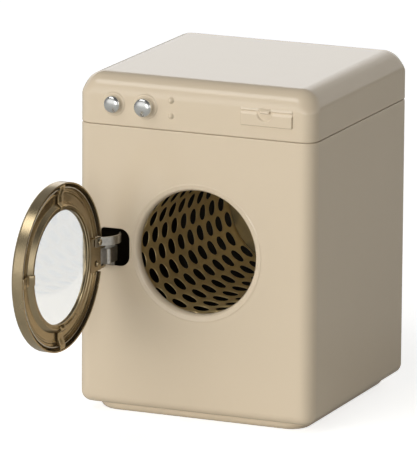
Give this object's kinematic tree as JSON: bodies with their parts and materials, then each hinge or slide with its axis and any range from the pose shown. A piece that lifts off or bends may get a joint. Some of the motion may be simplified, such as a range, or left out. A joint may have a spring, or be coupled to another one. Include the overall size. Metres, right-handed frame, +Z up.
{
  "type": "toy washing machine",
  "caption": "Painted tin toy washing machine with a round hinged window door, a perforated drum that turns, domed knobs and a false drawer front.",
  "frame": {"origin": "centre of the base pan's flat underside", "axes": "+Z up, -Y out of the front, +X the side away from the hinge"},
  "size_m": [0.088, 0.1579, 0.12],
  "materials": {
    "cream_paint": "smooth satin enamel on tin",
    "bronze_tin": "bronze lacquer on pressed tin",
    "gold_tin": "gold lacquer on perforated tin",
    "chrome_plate": "polished",
    "zinc_steel": "zinc plated",
    "clear_plastic": "clear"
  },
  "bodies": {
    "housing": {"body_shell": "cream_paint", "top_cover": "cream_paint", "base_pan": "cream_paint", "back_panel": "cream_paint", "back_screw_1": "zinc_steel", "back_screw_2": "zinc_steel", "back_screw_3": "zinc_steel", "back_screw_4": "zinc_steel", "cover_screw_1": "zinc_steel", "cover_screw_2": "zinc_steel", "hinge_bracket": "zinc_steel", "axle_bush": "bronze_tin"},
    "door": {"door_bezel": "bronze_tin", "door_liner": "bronze_tin", "door_window": "clear_plastic", "hinge_leaf": "bronze_tin", "door_stay": "zinc_steel", "leaf_rivet_1": "bronze_tin", "leaf_rivet_2": "bronze_tin", "hinge_pin": "zinc_steel"},
    "drum": {"drum_shell": "gold_tin", "drum_back": "gold_tin", "drum_axle": "zinc_steel", "hub_washer": "zinc_steel", "axle_clip": "zinc_steel"},
    "program_dial": {"program_knob": "chrome_plate", "program_knob_washer": "zinc_steel"},
    "temperature_dial": {"temperature_knob": "chrome_plate", "temperature_knob_washer": "zinc_steel"}
  },
  "joints": [
    {"name": "door_hinge", "type": "hinge", "parent": "housing", "child": "door", "pos_m": [-0.0335, -0.0479, 0.0573], "axis": [0, 0, 1], "range_deg": [-8, 93]},
    {"name": "drum_spin", "type": "hinge", "parent": "housing", "child": "drum", "pos_m": [0.00076, 0, 0.06033], "axis": [0, 1, 0], "continuous": true},
    {"name": "program_turn", "type": "hinge", "parent": "housing", "child": "program_dial", "pos_m": [-0.0303, -0.044, 0.1101], "axis": [0, 1, 0], "continuous": true},
    {"name": "temperature_turn", "type": "hinge", "parent": "housing", "child": "temperature_dial", "pos_m": [-0.0184, -0.044, 0.1101], "axis": [0, 1, 0], "continuous": true}
  ]
}
